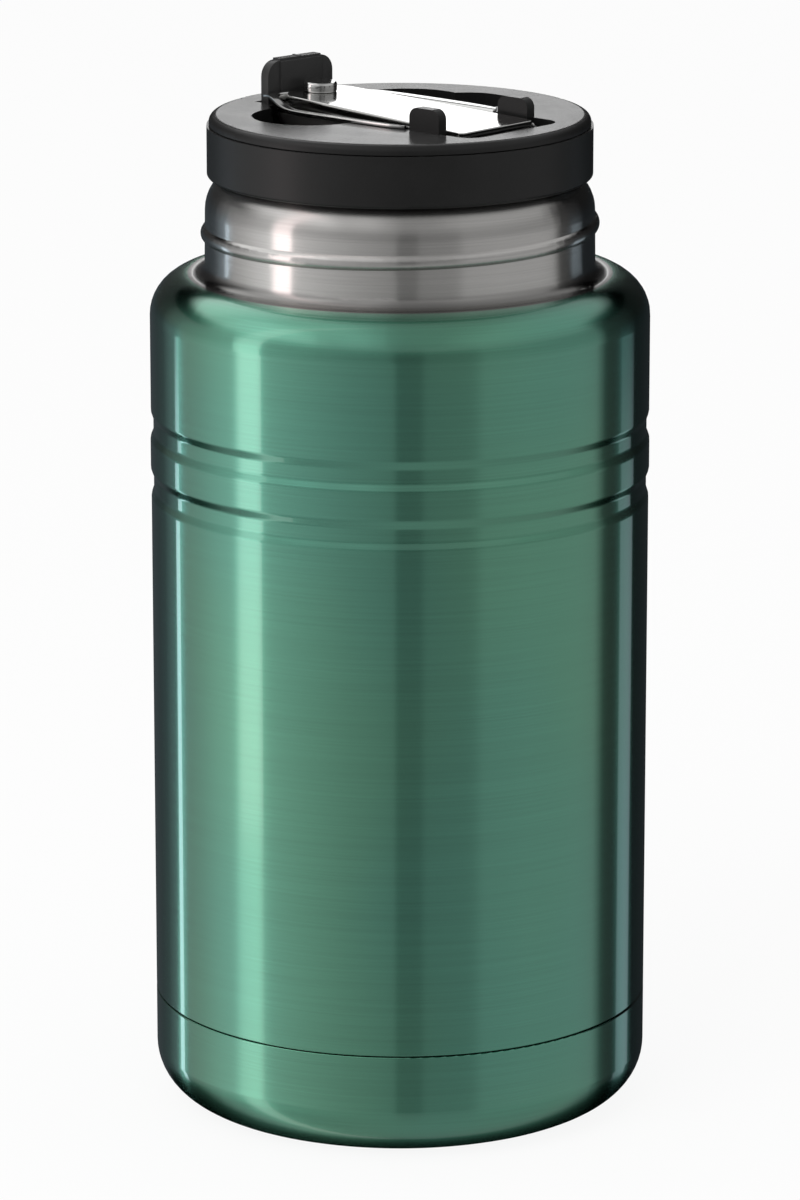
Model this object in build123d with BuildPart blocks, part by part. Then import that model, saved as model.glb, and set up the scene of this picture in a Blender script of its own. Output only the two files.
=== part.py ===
from build123d import *
from math import cos, radians, sin
import os

# Insulated food jar: a double-walled steel vessel, a screw stopper and a folding spoon.
# Millimetres. The origin is the middle of the foot, +Z is up, and the spoon lies across
# the stopper at SPOON_ANGLE from +X.

# --- steel vessel ---
BODY_R = 50.0
SHEET = 0.6  # outer wall thickness
FOOT_CORNER_R = 10.4
RECESS_R = 31.0  # hollow under the base
RECESS_H = 2.0
SEAM_Z = 22.0  # weld between the base cup and the outer shell
SEAM_GAP = 0.2
SEAM_EDGE_R = 0.25  # rounding of both edges of the seam
PUMP_HOLE_R = 1.5  # hole in the base that the vacuum is drawn through
BEAD_R, BEAD_H = 2.6, 0.8
COVER_R, COVER_T = 12.0, 0.8
GROOVE_DEPTH = 0.5
GROOVE_RAMP = 1.5
GROOVE_W = 5.8
GROOVE_LOW_Z = 125.1
GROOVE_HIGH_Z = 136.8
GROOVE_EDGE_R = 1.5
BAND_PROUD = 0.1  # the band between the grooves stands this far out
SHOULDER_Z = 170.4
SHOULDER_R = 8.4
NECK_R = 39.0
NECK_ROOT_R = 2.4
NECK_TAPER = 0.2
NECK_TOP_Z = 186.3
NECK_TOP_R = 8.0
COLLAR_R = 35.3  # narrow neck that the stopper screws onto
COLLAR_Z = 190.2
COLLAR_ROOT_R = 1.0
RIM_Z = 197.0
MOUTH_R = 33.1

# --- threads, both right-handed ---
LEAD = 4.2
CUP_THREAD_Z = 177.4  # lower end of the ridge for a drinking cup, at +Y
CUP_THREAD_TURNS = 0.96
CUP_THREAD_H = 0.95
CUP_THREAD_W = 3.0
CUP_THREAD_START, SKIRT_THREAD_START = 90.0, 180.0  # degrees from +X
JAR_THREAD_Z = 191.4
JAR_THREAD_TURNS = 1.0
SKIRT_THREAD_TURNS = 1.1
THREAD_H = 1.1
THREAD_ROOT_W = 1.7
THREAD_CREST_W = 0.8
THREAD_SUNK = 0.3  # how far a ridge is rooted in its wall

# --- inner vessel ---
LINER_SHEET = 0.5
LINER_R = 46.0
LINER_BASE_Z = 9.0
LINER_SEAM_Z = 13.5
LINER_CORNER_R = 4.0
LINER_SHOULDER_Z, LINER_SHOULDER_R = 156.0, 10.0
LINER_MOUTH_Z, LINER_MOUTH_R = 176.0, 12.0
FOIL = 0.2
FOIL_LOW_Z, FOIL_HIGH_Z = 28.0, 148.0
LIP_H = 0.6
WELD_W = 0.3
GETTER_R, GETTER_H, GETTER_X = 5.0, 1.6, 16.0

# --- stopper ---
LID_Z = 202.3
LID_EDGE_R = 1.5
BAND_R = 37.95  # upper band of the stopper, above its groove
SKIRT_R = 38.4
SKIRT_Z = 189.9
SKIRT_TOP_Z = 200.1
SKIRT_WALL = 1.5
SPIGOT_R = 36.8  # ring under the cover that fits inside the skirt
DECK_LOW_Z, DECK_HIGH_Z = 198.2, 199.4
GROOVE_GAP = 0.25
PLUG_R = 32.0
PLUG_WALL = 1.2
PLUG_Z = 168.0
PLUG_CORNER_R = 3.0
GASKET_R, GASKET_LOW_Z = 34.7, 194.6
GASKET_WALL = 0.5
GASKET_PLUG_GAP, GASKET_RIM_GAP, GASKET_DECK_GAP = 0.3, 0.08, 0.05
WELL_R = 29.6  # the deep well stays inside this radius
WELL_Z = 195.4
WELL_MIDDLE, WELL_LENGTH, WELL_CORNER_R = 1.6, 53.2, 5.0
TRAY_Z = 200.6
LID_WALL = 1.1
BLOCK_MIDDLE, BLOCK_LENGTH, BLOCK_CORNER_R = 0.4, 64.2, 3.0  # solid part round the tray

# --- spoon tray, in the spoon's own direction ---
SPOON_ANGLE = -42.0
TRAY_HALF = 13.6
TRAY_LEFT, TRAY_RIGHT = -25.0, 31.0
TRAY_CORNER_R = 4.0
BAY_R = 11.5
BAY_U, BAY_V = -11.0, 14.5
BACK_BAY_R = 9.5
BACK_BAY_U, BACK_BAY_V = 0.0, 20.5
CLIP_LEFT, CLIP_RIGHT = 15.2, 22.9
CLIP_INNER, CLIP_OUTER = 12.0, 14.2
CLIP_FRONT_Z, CLIP_BACK_Z = 207.0, 206.1
CLIP_CORNER_R = 2.0
CLIP_ROOT_Z = 196.5

# --- latch that holds the spoon down ---
LATCH_FRONT, LATCH_BACK = -26.8, -29.0
LATCH_HALF = 9.1
LATCH_TOP_Z = 211.0
LATCH_CORNER_R = 3.2
LATCH_PIVOT_U, LATCH_PIVOT_Z = -27.9, 201.1
LATCH_BARREL_R = 1.1
LATCH_PIN_R = 0.5
LATCH_LIP = 0.4
LATCH_LIP_DROP, LATCH_LIP_H, LATCH_LIP_INSET = 1.3, 1.0, 2.0
LATCH_SLOT_U, LATCH_SLOT_L, LATCH_SLOT_PLAY = -27.5, 6.2, 0.35
LATCH_SLOT_Z = 199.8
LATCH_PIN_END = 1.6  # how far the pin reaches into the cover on each side
RUNNING = 0.06  # radial play of a pin in its bore

# --- spoon ---
HINGE_U, HINGE_Z = 24.2, 200.75
HANDLE_TILT = 2.3  # degrees, the free end stands higher
HANDLE_SHEET = 0.7
HANDLE_TOP = 1.75  # top face above the hinge axis
HANDLE_DEPTH = 1.8
HANDLE_HALF_HINGE, HANDLE_HALF_END = 10.8, 8.6
HANDLE_END = 49.6
HANDLE_HEEL = 1.6
HANDLE_FLAT_END = 6.0  # the free end has no flanges
HINGE_EAR_R = 1.4  # ears hang from the inside of the handle's flanges
HINGE_EAR_V, HINGE_EAR_T = 9.9, 0.6
HINGE_PIN_R = 0.5
HINGE_HEAD_R, HINGE_HEAD_T = 0.85, 0.35
STUD_X, STUD_R, STUD_H = 45.9, 3.4, 1.25
BOWL_SHEET = 0.6
BOWL_LEFT, BOWL_RIGHT = -26.1, 27.5
BOWL_HALF, BOWL_HALF_HINGE = 13.0, 11.6
BOWL_RIM_Z = 202.4  # underside of the rim, just clear of the cover
BOWL_RIM_HALF = 15.3
BOWL_RIM_END_U = 14.6  # the rim stops short of the clips
BOWL_BEND_R = 5.0
BOWL_TIP_Z = 204.5
BOWL_EAR_Z = 202.1  # top of the ears that hold the pin
BOWL_END_Z = 200.2  # the end wall is low, so that the handle can swing over it
BOWL_FLOOR_Z, BOWL_HINGE_FLOOR_Z = 196.3, 197.6

ABOVE = 212.0  # a height over every part
FAR = 30.0  # a reach past every part of the spoon

turn = radians(SPOON_ANGLE)
along = (cos(turn), sin(turn), 0)
across = (-sin(turn), cos(turn), 0)
tilt = radians(HANDLE_TILT)


def level(z):
    """Horizontal plane at height z, with x along the spoon and y across it."""
    return Plane(origin=(0, 0, z), x_dir=along, z_dir=(0, 0, 1))


# Upright plane through the axis: x along the spoon, y up.
lengthwise = Plane(origin=(0, 0, 0), x_dir=along, z_dir=(along[1], -along[0], 0))


def crosswise(u):
    """Upright plane square to the spoon: x across it, y up."""
    origin = (u * along[0], u * along[1], 0)
    return Plane(origin=origin, x_dir=across, z_dir=along)


def mirrored(points):
    """Closed outline of points listed along +y, left to right, and their mirror images."""
    return points + [(x, -y) for x, y in reversed(points)]


def thread_path(radius, turns, z, start):
    """Helix that begins at height z, start degrees round from +X."""
    return Pos(0, 0, z) * Rot(0, 0, start) * Helix(pitch=LEAD, height=LEAD * turns, radius=radius)


def thread_start(helix, start):
    """Plane square to a helix at its lower end, with x pointing away from the axis."""
    outward = (cos(radians(start)), sin(radians(start)), 0)
    return Plane(origin=helix @ 0, x_dir=outward, z_dir=helix % 0)


# ---------------------------------------------------------------- steel vessel

groove_floor = BODY_R - GROOVE_DEPTH
band_r = BODY_R + BAND_PROUD
shell_outline = [
    (BODY_R, SEAM_Z + SEAM_GAP),
    (BODY_R, GROOVE_LOW_Z),
    (groove_floor, GROOVE_LOW_Z + GROOVE_RAMP),
    (groove_floor, GROOVE_LOW_Z + GROOVE_W - GROOVE_RAMP),
    (band_r, GROOVE_LOW_Z + GROOVE_W),
    (band_r, GROOVE_HIGH_Z),
    (groove_floor, GROOVE_HIGH_Z + GROOVE_RAMP),
    (groove_floor, GROOVE_HIGH_Z + GROOVE_W - GROOVE_RAMP),
    (BODY_R, GROOVE_HIGH_Z + GROOVE_W),
    (BODY_R, SHOULDER_Z),
    (NECK_R, SHOULDER_Z),
    (NECK_R - NECK_TAPER, NECK_TOP_Z),
    (COLLAR_R, COLLAR_Z),
    (COLLAR_R, RIM_Z),
]
shell_radii = [GROOVE_EDGE_R] * 8 + [SHOULDER_R, NECK_ROOT_R, NECK_TOP_R, COLLAR_ROOT_R]

with BuildPart() as outer_shell:
    with BuildSketch(Plane.XZ):
        with BuildLine():
            FilletPolyline(*shell_outline, radius=shell_radii)
            offset(amount=SHEET, side=Side.LEFT)
        make_face()
    revolve(axis=Axis.Z)
    fillet(outer_shell.edges().group_by(Axis.Z)[0].sort_by(SortBy.LENGTH)[-1], SEAM_EDGE_R)
    # rolled ridge for the cup, one turn round the wide neck
    cup_helix = thread_path(NECK_R - NECK_TAPER, CUP_THREAD_TURNS, CUP_THREAD_Z, CUP_THREAD_START)
    with BuildSketch(thread_start(cup_helix, CUP_THREAD_START)):
        with BuildLine():
            half = CUP_THREAD_W / 2
            ThreePointArc((0, -half), (CUP_THREAD_H, 0), (0, half))
            Polyline((0, half), (-THREAD_SUNK, half), (-THREAD_SUNK, -half), (0, -half))
        make_face()
    sweep(path=cup_helix, is_frenet=True)
    # thread for the stopper, round the narrow neck
    jar_helix = thread_path(COLLAR_R, JAR_THREAD_TURNS, JAR_THREAD_Z, 0)
    with BuildSketch(thread_start(jar_helix, 0)):
        with BuildLine():
            root, crest = THREAD_ROOT_W / 2, THREAD_CREST_W / 2
            Polyline(
                (-THREAD_SUNK, -root), (THREAD_H, -crest),
                (THREAD_H, crest), (-THREAD_SUNK, root), close=True,
            )
        make_face()
    sweep(path=jar_helix, is_frenet=True)
outer_shell.part.label = "outer_shell"

with BuildPart() as base_cup:
    with BuildSketch(Plane.XZ):
        with BuildLine():
            FilletPolyline(
                (BODY_R, SEAM_Z), (BODY_R, 0), (RECESS_R, 0), (RECESS_R - 3, RECESS_H), (0, RECESS_H),
                radius=[FOOT_CORNER_R, 2.0, 2.0],
            )
            offset(amount=SHEET, side=Side.RIGHT)
        make_face()
    revolve(axis=Axis.Z)
    fillet(base_cup.edges().group_by(Axis.Z)[-1].sort_by(SortBy.LENGTH)[-1], SEAM_EDGE_R)
    Hole(radius=PUMP_HOLE_R)
base_cup.part.label = "base_cup"

with BuildPart() as seal_bead:
    with BuildSketch(Plane.XY.offset(RECESS_H)):
        Circle(PUMP_HOLE_R)
    extrude(amount=SHEET)
    with BuildSketch(Plane.XY.offset(RECESS_H + SHEET)):
        Circle(BEAD_R)
    extrude(amount=BEAD_H)
    fillet(seal_bead.edges().group_by(Axis.Z)[-1], 0.6)
seal_bead.part.label = "seal_bead"

with BuildPart() as seal_cover:
    with BuildSketch(Plane.XY.offset(RECESS_H - COVER_T)):
        Circle(COVER_R)
    extrude(amount=COVER_T)
    chamfer(seal_cover.edges().group_by(Axis.Z)[0], 0.3)
seal_cover.part.label = "seal_cover"

# ---------------------------------------------------------------- inner vessel

with BuildPart() as liner_wall:
    with BuildSketch(Plane.XZ):
        with BuildLine():
            FilletPolyline(
                (LINER_R, LINER_SEAM_Z), (LINER_R, LINER_SHOULDER_Z),
                (MOUTH_R + LINER_SHEET, LINER_MOUTH_Z), (MOUTH_R + LINER_SHEET, RIM_Z),
                radius=[LINER_SHOULDER_R, LINER_MOUTH_R],
            )
            offset(amount=LINER_SHEET, side=Side.LEFT)
        make_face()
    revolve(axis=Axis.Z)
    # turned-out lip that closes the vacuum space on top of the outer shell
    with BuildSketch(Plane.XY.offset(RIM_Z)):
        Circle(COLLAR_R)
        Circle(MOUTH_R, mode=Mode.SUBTRACT)
    extrude(amount=LIP_H)
    fillet(liner_wall.edges().group_by(Axis.Z)[-1], 0.25)
liner_wall.part.label = "liner_wall"

with BuildPart() as liner_base:
    with BuildSketch(Plane.XZ):
        with BuildLine():
            FilletPolyline(
                (LINER_R, LINER_SEAM_Z), (LINER_R, LINER_BASE_Z), (0, LINER_BASE_Z),
                radius=LINER_CORNER_R,
            )
            offset(amount=LINER_SHEET, side=Side.RIGHT)
        make_face()
    revolve(axis=Axis.Z)
liner_base.part.label = "liner_base"

with BuildPart() as rim_weld:
    with BuildSketch(Plane.XZ):
        with Locations((COLLAR_R + WELD_W / 2, RIM_Z)):
            Rectangle(WELD_W, 2 * WELD_W)
    revolve(axis=Axis.Z)
rim_weld.part.label = "rim_weld"

with BuildPart() as copper_foil:
    with BuildSketch(Plane.XY.offset(FOIL_LOW_Z)):
        Circle(LINER_R + FOIL)
        Circle(LINER_R, mode=Mode.SUBTRACT)
    extrude(amount=FOIL_HIGH_Z - FOIL_LOW_Z)
copper_foil.part.label = "copper_foil"

with BuildPart() as getter:
    with BuildSketch(Plane.XY.offset(LINER_BASE_Z - GETTER_H)):
        with Locations((GETTER_X, 0)):
            Circle(GETTER_R)
    extrude(amount=GETTER_H)
    fillet(getter.edges().group_by(Axis.Z)[0], 0.5)
getter.part.label = "getter"

# ---------------------------------------------------------------- stopper

with BuildPart() as stopper_collar:
    with BuildSketch(Plane.XY.offset(SKIRT_Z)):
        Circle(SKIRT_R)
        Circle(SKIRT_R - SKIRT_WALL, mode=Mode.SUBTRACT)
    extrude(amount=SKIRT_TOP_Z - SKIRT_Z)
    with BuildSketch(Plane.XY.offset(DECK_LOW_Z)):
        Circle(SKIRT_R - 0.5)
        Circle(PLUG_R - PLUG_WALL, mode=Mode.SUBTRACT)
    extrude(amount=DECK_HIGH_Z - DECK_LOW_Z)
    fillet(stopper_collar.faces().sort_by(Axis.Z)[0].outer_wire().edges(), 0.7)
    # inner thread, started on the other side so that it runs midway between the neck's turns
    skirt_bore_r = SKIRT_R - SKIRT_WALL
    skirt_helix = thread_path(skirt_bore_r, SKIRT_THREAD_TURNS, JAR_THREAD_Z, SKIRT_THREAD_START)
    with BuildSketch(thread_start(skirt_helix, SKIRT_THREAD_START)):
        with BuildLine():
            Polyline(
                (THREAD_SUNK, -root), (-THREAD_H, -crest),
                (-THREAD_H, crest), (THREAD_SUNK, root), close=True,
            )
        make_face()
    sweep(path=skirt_helix, is_frenet=True)
stopper_collar.part.label = "stopper_collar"

with BuildPart() as stopper_plug:
    with BuildSketch(Plane.XZ):
        with BuildLine():
            FilletPolyline((PLUG_R, DECK_LOW_Z), (PLUG_R, PLUG_Z), (0, PLUG_Z), radius=PLUG_CORNER_R)
            offset(amount=PLUG_WALL, side=Side.RIGHT)
        make_face()
    revolve(axis=Axis.Z)
stopper_plug.part.label = "stopper_plug"

with BuildPart() as foam_core:
    with BuildSketch(Plane.XY.offset(PLUG_Z + PLUG_WALL)):
        Circle(PLUG_R - PLUG_WALL)
    extrude(amount=WELL_Z - LID_WALL - PLUG_Z - PLUG_WALL)
    fillet(foam_core.edges().group_by(Axis.Z)[0], 2.0)
foam_core.part.label = "foam_core"

with BuildPart() as gasket:
    gasket_low, gasket_high = RIM_Z + LIP_H + GASKET_RIM_GAP, DECK_LOW_Z - GASKET_DECK_GAP
    gasket_bore = PLUG_R + GASKET_PLUG_GAP
    with BuildSketch(Plane.XZ):
        with BuildLine():
            Polyline(
                (GASKET_R, gasket_low), (GASKET_R, gasket_high), (gasket_bore, gasket_high),
                (gasket_bore, GASKET_LOW_Z), (gasket_bore + GASKET_WALL, GASKET_LOW_Z),
                (gasket_bore + GASKET_WALL, gasket_low), close=True,
            )
        make_face()
    revolve(axis=Axis.Z)
gasket.part.label = "gasket"

# Open spaces of the stopper's cover: a shallow tray, a deep well under the bowl and
# the two finger bays beside it.
with BuildPart() as tray_space:
    with BuildSketch(level(TRAY_Z)):
        with Locations(((TRAY_LEFT + TRAY_RIGHT) / 2, 0)):
            RectangleRounded(TRAY_RIGHT - TRAY_LEFT, 2 * TRAY_HALF, TRAY_CORNER_R)
    extrude(amount=ABOVE - TRAY_Z)

with BuildPart() as well_space:
    with BuildSketch(level(WELL_Z)):
        with Locations((WELL_MIDDLE, 0)):
            RectangleRounded(WELL_LENGTH, 2 * TRAY_HALF, WELL_CORNER_R)
        for side in (-1, 1):
            with Locations((BAY_U, side * BAY_V)):
                Circle(BAY_R)
        with Locations((BACK_BAY_U, BACK_BAY_V)):
            Circle(BACK_BAY_R)
        Circle(WELL_R, mode=Mode.INTERSECT)
    extrude(amount=ABOVE - WELL_Z)

with BuildPart() as latch_space:
    with BuildSketch(level(LATCH_SLOT_Z)):
        with Locations((LATCH_SLOT_U, 0)):
            Rectangle(LATCH_SLOT_L, 2 * (LATCH_HALF + LATCH_SLOT_PLAY))
    extrude(amount=ABOVE - LATCH_SLOT_Z)

with BuildPart() as latch_rod:
    with BuildSketch(lengthwise):
        with Locations((LATCH_PIVOT_U, LATCH_PIVOT_Z)):
            Circle(LATCH_PIN_R)
    extrude(amount=LATCH_HALF + LATCH_PIN_END, both=True)

with BuildPart() as stopper_top:
    with BuildSketch(Plane.XY.offset(SKIRT_TOP_Z + GROOVE_GAP)):
        Circle(BAND_R)
    extrude(amount=LID_Z - SKIRT_TOP_Z - GROOVE_GAP)
    fillet(stopper_top.edges().group_by(Axis.Z)[-1], LID_EDGE_R)
    # spigot that locates the cover in the collar
    with BuildSketch(Plane.XY.offset(DECK_HIGH_Z)):
        Circle(SPIGOT_R)
    extrude(amount=SKIRT_TOP_Z + GROOVE_GAP - DECK_HIGH_Z)
    # hollow under the plate, left solid round the tray
    with BuildSketch(level(DECK_HIGH_Z)):
        Circle(SPIGOT_R - LID_WALL)
        with Locations((BLOCK_MIDDLE, 0)):
            RectangleRounded(BLOCK_LENGTH, 2 * (TRAY_HALF + LID_WALL), BLOCK_CORNER_R, mode=Mode.SUBTRACT)
        for side in (-1, 1):
            with Locations((BAY_U, side * BAY_V)):
                Circle(BAY_R + LID_WALL, mode=Mode.SUBTRACT)
        with Locations((BACK_BAY_U, BACK_BAY_V)):
            Circle(BACK_BAY_R + LID_WALL, mode=Mode.SUBTRACT)
    extrude(amount=LID_Z - LID_WALL - DECK_HIGH_Z, mode=Mode.SUBTRACT)
    # tub of the deep well, hanging through the deck
    with BuildSketch(level(WELL_Z - LID_WALL)):
        Circle(WELL_R + LID_WALL)
    extrude(amount=DECK_HIGH_Z - WELL_Z + LID_WALL)
    for space in (tray_space, well_space, latch_space, latch_rod):
        add(space.part, mode=Mode.SUBTRACT)
    # clips on both sides of the spoon, rooted in the walls of the well
    for side, top in ((-1, CLIP_FRONT_Z), (1, CLIP_BACK_Z)):
        with BuildSketch(lengthwise.offset(-side * CLIP_INNER)):
            with Locations(((CLIP_LEFT + CLIP_RIGHT) / 2, (CLIP_ROOT_Z + top) / 2)):
                RectangleRounded(CLIP_RIGHT - CLIP_LEFT, top - CLIP_ROOT_Z, CLIP_CORNER_R)
        extrude(amount=-side * (CLIP_OUTER - CLIP_INNER))
stopper_top.part.label = "stopper_top"

# ---------------------------------------------------------------- latch

with BuildPart() as latch_pin:
    add(latch_rod.part)
latch_pin.part.label = "latch_pin"

with BuildPart() as spoon_latch:
    with BuildSketch(crosswise(LATCH_BACK)):
        with BuildLine():
            top_left, top_right = (-LATCH_HALF, LATCH_TOP_Z), (LATCH_HALF, LATCH_TOP_Z)
            foot_left, foot_right = (-LATCH_HALF, LATCH_PIVOT_Z), (LATCH_HALF, LATCH_PIVOT_Z)
            FilletPolyline(foot_left, top_left, top_right, foot_right, radius=LATCH_CORNER_R)
            Line(foot_right, foot_left)
        make_face()
    extrude(amount=LATCH_FRONT - LATCH_BACK)
    fillet(spoon_latch.faces().sort_by(Axis.Z)[-1].edges().filter_by(GeomType.LINE), 0.4)
    # lip along the top that leans over the end of the spoon
    with BuildSketch(crosswise(LATCH_FRONT)):
        with Locations((0, LATCH_TOP_Z - LATCH_LIP_DROP)):
            RectangleRounded(2 * (LATCH_HALF - LATCH_LIP_INSET), LATCH_LIP_H, 0.4)
    extrude(amount=LATCH_LIP)
    with BuildSketch(lengthwise):
        with Locations((LATCH_PIVOT_U, LATCH_PIVOT_Z)):
            Circle(LATCH_BARREL_R)
    extrude(amount=LATCH_HALF, both=True)
    with BuildSketch(lengthwise):
        with Locations((LATCH_PIVOT_U, LATCH_PIVOT_Z)):
            Circle(LATCH_PIN_R + RUNNING)
    extrude(amount=LATCH_HALF, both=True, mode=Mode.SUBTRACT)
spoon_latch.part.label = "spoon_latch"

# ---------------------------------------------------------------- spoon

bowl_side = [
    (BOWL_LEFT, ABOVE), (BOWL_LEFT, 203.8), (-23.2, 198.4), (-18.5, BOWL_FLOOR_Z), (5.0, BOWL_FLOOR_Z),
    (12.0, BOWL_HINGE_FLOOR_Z), (26.6, BOWL_HINGE_FLOOR_Z), (BOWL_RIGHT, 198.5), (BOWL_RIGHT, ABOVE),
]
bowl_plan = mirrored([
    (BOWL_LEFT, 8.0), (-21.0, BOWL_HALF), (9.0, BOWL_HALF), (14.5, BOWL_HALF_HINGE),
    (26.0, BOWL_HALF_HINGE), (BOWL_RIGHT, 9.5),
])
rim_plan = mirrored([
    (BOWL_LEFT, 8.0), (-24.6, 10.8), (-21.2, 13.6), (-16.5, 15.0), (-9.0, BOWL_RIM_HALF),
    (2.0, 15.1), (BOWL_RIM_END_U, 14.1),
])
rim_line = [
    (BOWL_RIM_END_U, BOWL_RIM_Z), (-15.5, BOWL_RIM_Z), (-22.6, BOWL_TIP_Z), (-FAR, BOWL_TIP_Z + 0.4),
]

with BuildPart() as bowl_cavity:
    with BuildSketch(lengthwise):
        Polygon(*bowl_side, align=None)
        offset(amount=-BOWL_SHEET, kind=Kind.INTERSECTION)
    extrude(amount=FAR, both=True)
    with BuildSketch(level(SKIRT_Z)):
        Polygon(*bowl_plan, align=None)
        offset(amount=-BOWL_SHEET, kind=Kind.INTERSECTION)
    extrude(amount=ABOVE - SKIRT_Z, mode=Mode.INTERSECT)

# everything that stands above the bent rim, cut away from the bowl
with BuildPart() as above_rim:
    with BuildSketch(lengthwise):
        with BuildLine():
            above = [(x, z + BOWL_SHEET) for x, z in rim_line]
            ear_top = (25.0, BOWL_EAR_Z)
            FilletPolyline(ear_top, *above, radius=BOWL_BEND_R)
            Polyline(
                above[-1], (-FAR, ABOVE), (FAR, ABOVE), (FAR, BOWL_END_Z), (25.8, BOWL_END_Z), ear_top,
            )
        make_face()
    extrude(amount=FAR, both=True)

with BuildPart() as bowl_rim:
    with BuildSketch(lengthwise):
        with BuildLine():
            FilletPolyline(*rim_line, radius=BOWL_BEND_R)
            Polyline(rim_line[-1], (-FAR, ABOVE), (BOWL_RIM_END_U, ABOVE), rim_line[0])
        make_face()
    extrude(amount=FAR, both=True)
    with BuildSketch(level(SKIRT_Z)) as rim_outline:
        Polygon(*rim_plan, align=None)
        fillet(rim_outline.vertices(), 1.5)
    extrude(amount=ABOVE - SKIRT_Z, mode=Mode.INTERSECT)

with BuildPart() as spoon_bowl:
    with BuildSketch(lengthwise):
        Polygon(*bowl_side, align=None)
    extrude(amount=FAR, both=True)
    with BuildSketch(level(SKIRT_Z)):
        Polygon(*bowl_plan, align=None)
    extrude(amount=ABOVE - SKIRT_Z, mode=Mode.INTERSECT)
    add(bowl_rim.part)
    add(bowl_cavity.part, mode=Mode.SUBTRACT)
    add(above_rim.part, mode=Mode.SUBTRACT)
    with BuildSketch(lengthwise):
        with Locations((HINGE_U, HINGE_Z)):
            Circle(HINGE_PIN_R)
    extrude(amount=FAR, both=True, mode=Mode.SUBTRACT)
spoon_bowl.part.label = "spoon_bowl"

with BuildPart() as hinge_pin:
    with BuildSketch(lengthwise):
        with Locations((HINGE_U, HINGE_Z)):
            Circle(HINGE_PIN_R)
    extrude(amount=BOWL_HALF_HINGE, both=True)
    for side in (-1, 1):
        with BuildSketch(lengthwise.offset(side * BOWL_HALF_HINGE)):
            with Locations((HINGE_U, HINGE_Z)):
                Circle(HINGE_HEAD_R)
        extrude(amount=side * HINGE_HEAD_T)
hinge_pin.part.label = "hinge_pin"

hinge_point = (HINGE_U * along[0], HINGE_U * along[1], HINGE_Z)
to_free_end = (-cos(tilt) * along[0], -cos(tilt) * along[1], sin(tilt))
handle_up = (sin(tilt) * along[0], sin(tilt) * along[1], cos(tilt))
# Plane of the handle: origin on the hinge axis, x towards the free end.
handle_plane = Plane(origin=hinge_point, x_dir=to_free_end, z_dir=handle_up)
handle_bottom = HANDLE_TOP - HANDLE_DEPTH
taper_per_mm = (HANDLE_HALF_HINGE - HANDLE_HALF_END) / (HANDLE_END + HANDLE_HEEL)

with BuildPart() as spoon_handle:
    with BuildSketch(handle_plane.offset(handle_bottom)) as handle_outline:
        Polygon(*mirrored([(-HANDLE_HEEL, HANDLE_HALF_HINGE), (HANDLE_END, HANDLE_HALF_END)]), align=None)
        fillet(handle_outline.vertices().sort_by(Axis(hinge_point, to_free_end))[:2], 1.2)
        fillet(handle_outline.vertices().sort_by(Axis(hinge_point, to_free_end))[-2:], 5.0)
    extrude(amount=HANDLE_DEPTH)
    fillet(spoon_handle.faces().sort_by(Axis.Z)[-1].outer_wire().edges(), 0.35)
    # hollow underside, open towards the free end
    with BuildSketch(handle_plane.offset(handle_bottom)):
        inner_hinge = HANDLE_HALF_HINGE - HANDLE_SHEET
        inner_end = HANDLE_HALF_END - HANDLE_SHEET - HANDLE_FLAT_END * taper_per_mm
        inner = [(HANDLE_SHEET - HANDLE_HEEL, inner_hinge), (HANDLE_END + HANDLE_FLAT_END, inner_end)]
        Polygon(*mirrored(inner), align=None)
    extrude(amount=HANDLE_DEPTH - HANDLE_SHEET, mode=Mode.SUBTRACT)
    with BuildSketch(handle_plane.offset(handle_bottom)):
        with Locations((HANDLE_END, 0)):
            Rectangle(2 * HANDLE_FLAT_END, 3 * HANDLE_HALF_END)
    extrude(amount=HANDLE_DEPTH - HANDLE_SHEET, mode=Mode.SUBTRACT)
    # ears round the hinge pin
    for side in (-1, 1):
        with BuildSketch(lengthwise.offset(side * HINGE_EAR_V)):
            with Locations((HINGE_U, HINGE_Z)):
                Circle(HINGE_EAR_R)
        extrude(amount=side * HINGE_EAR_T)
    with BuildSketch(lengthwise):
        with Locations((HINGE_U, HINGE_Z)):
            Circle(HINGE_PIN_R + RUNNING)
    extrude(amount=FAR, both=True, mode=Mode.SUBTRACT)
spoon_handle.part.label = "spoon_handle"

with BuildPart() as handle_stud:
    with BuildSketch(handle_plane.offset(HANDLE_TOP)):
        with Locations((STUD_X, 0)):
            Circle(STUD_R)
    extrude(amount=STUD_H)
    fillet(handle_stud.edges().group_by(Axis(hinge_point, handle_up))[-1], 0.5)
handle_stud.part.label = "handle_stud"

os.makedirs("parts", exist_ok=True)
export_step(outer_shell.part, "parts/outer_shell.step")
export_step(base_cup.part, "parts/base_cup.step")
export_step(seal_bead.part, "parts/seal_bead.step")
export_step(seal_cover.part, "parts/seal_cover.step")
export_step(liner_wall.part, "parts/liner_wall.step")
export_step(liner_base.part, "parts/liner_base.step")
export_step(rim_weld.part, "parts/rim_weld.step")
export_step(copper_foil.part, "parts/copper_foil.step")
export_step(getter.part, "parts/getter.step")
export_step(stopper_collar.part, "parts/stopper_collar.step")
export_step(stopper_plug.part, "parts/stopper_plug.step")
export_step(foam_core.part, "parts/foam_core.step")
export_step(gasket.part, "parts/gasket.step")
export_step(stopper_top.part, "parts/stopper_top.step")
export_step(latch_pin.part, "parts/latch_pin.step")
export_step(spoon_latch.part, "parts/spoon_latch.step")
export_step(spoon_bowl.part, "parts/spoon_bowl.step")
export_step(hinge_pin.part, "parts/hinge_pin.step")
export_step(spoon_handle.part, "parts/spoon_handle.step")
export_step(handle_stud.part, "parts/handle_stud.step")
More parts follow.
